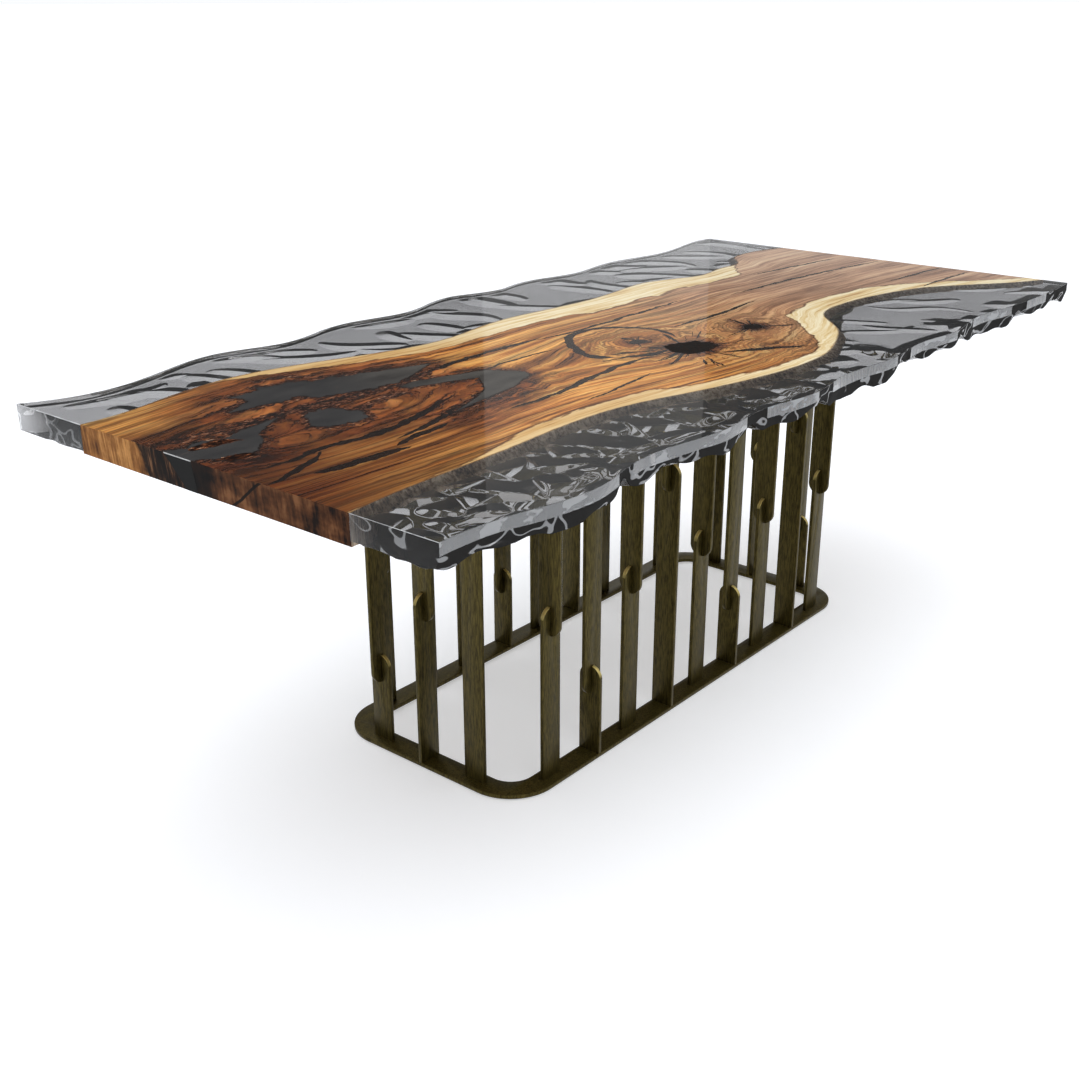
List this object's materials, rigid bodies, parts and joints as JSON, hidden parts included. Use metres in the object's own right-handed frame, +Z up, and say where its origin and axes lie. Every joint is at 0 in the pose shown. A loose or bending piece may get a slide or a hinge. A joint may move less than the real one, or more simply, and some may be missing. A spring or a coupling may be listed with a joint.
{
  "type": "live edge dining table",
  "caption": "Long dining table with a live edge wood slab between two smoky poured resin wings, on a slatted metal base of interlocking flat bars between two rings.",
  "frame": {"origin": "on the floor, under the middle of the table top's outline", "axes": "+X along the table's length, towards the end with the plain wood; +Y across it, towards the back wing; +Z up"},
  "size_m": [2.2, 1.0752, 0.76],
  "materials": {
    "wood": "clear satin lacquer",
    "resin": "smoky clear cast resin, polished",
    "void_resin": "dark smoky cast resin, polished",
    "knot_resin": "near-black cast resin, polished",
    "bronze": "brushed, dark bronze patina",
    "pads": "matt",
    "fasteners": "blackened",
    "inserts": "plain"
  },
  "bodies": {
    "root": {"back_resin_wing": "resin", "bottom_ring": "bronze", "front_resin_wing": "resin", "glide_pads": "pads", "knot_fills": "knot_resin", "lower_bar_back_1": "bronze", "lower_bar_back_2": "bronze", "lower_bar_back_3": "bronze", "lower_bar_back_4": "bronze", "lower_bar_back_5": "bronze", "lower_bar_back_6": "bronze", "lower_bar_back_7": "bronze", "lower_bar_back_8": "bronze", "lower_bar_back_9": "bronze", "lower_bar_front_1": "bronze", "lower_bar_front_2": "bronze", "lower_bar_front_3": "bronze", "lower_bar_front_4": "bronze", "lower_bar_front_5": "bronze", "lower_bar_front_6": "bronze", "lower_bar_front_7": "bronze", "lower_bar_front_8": "bronze", "lower_bar_front_9": "bronze", "lower_bar_left_1": "bronze", "lower_bar_left_2": "bronze", "lower_bar_left_3": "bronze", "lower_bar_right_1": "bronze", "lower_bar_right_2": "bronze", "lower_bar_right_3": "bronze", "mounting_bolts": "fasteners", "threaded_inserts": "inserts", "top_ring": "bronze", "upper_bar_back_1": "bronze", "upper_bar_back_2": "bronze", "upper_bar_back_3": "bronze", "upper_bar_back_4": "bronze", "upper_bar_back_5": "bronze", "upper_bar_back_6": "bronze", "upper_bar_back_7": "bronze", "upper_bar_back_8": "bronze", "upper_bar_back_9": "bronze", "upper_bar_front_1": "bronze", "upper_bar_front_2": "bronze", "upper_bar_front_3": "bronze", "upper_bar_front_4": "bronze", "upper_bar_front_5": "bronze", "upper_bar_front_6": "bronze", "upper_bar_front_7": "bronze", "upper_bar_front_8": "bronze", "upper_bar_front_9": "bronze", "upper_bar_left_1": "bronze", "upper_bar_left_2": "bronze", "upper_bar_left_3": "bronze", "upper_bar_right_1": "bronze", "upper_bar_right_2": "bronze", "upper_bar_right_3": "bronze", "void_fills": "void_resin", "wood_slab": "wood"}
  },
  "joints": []
}
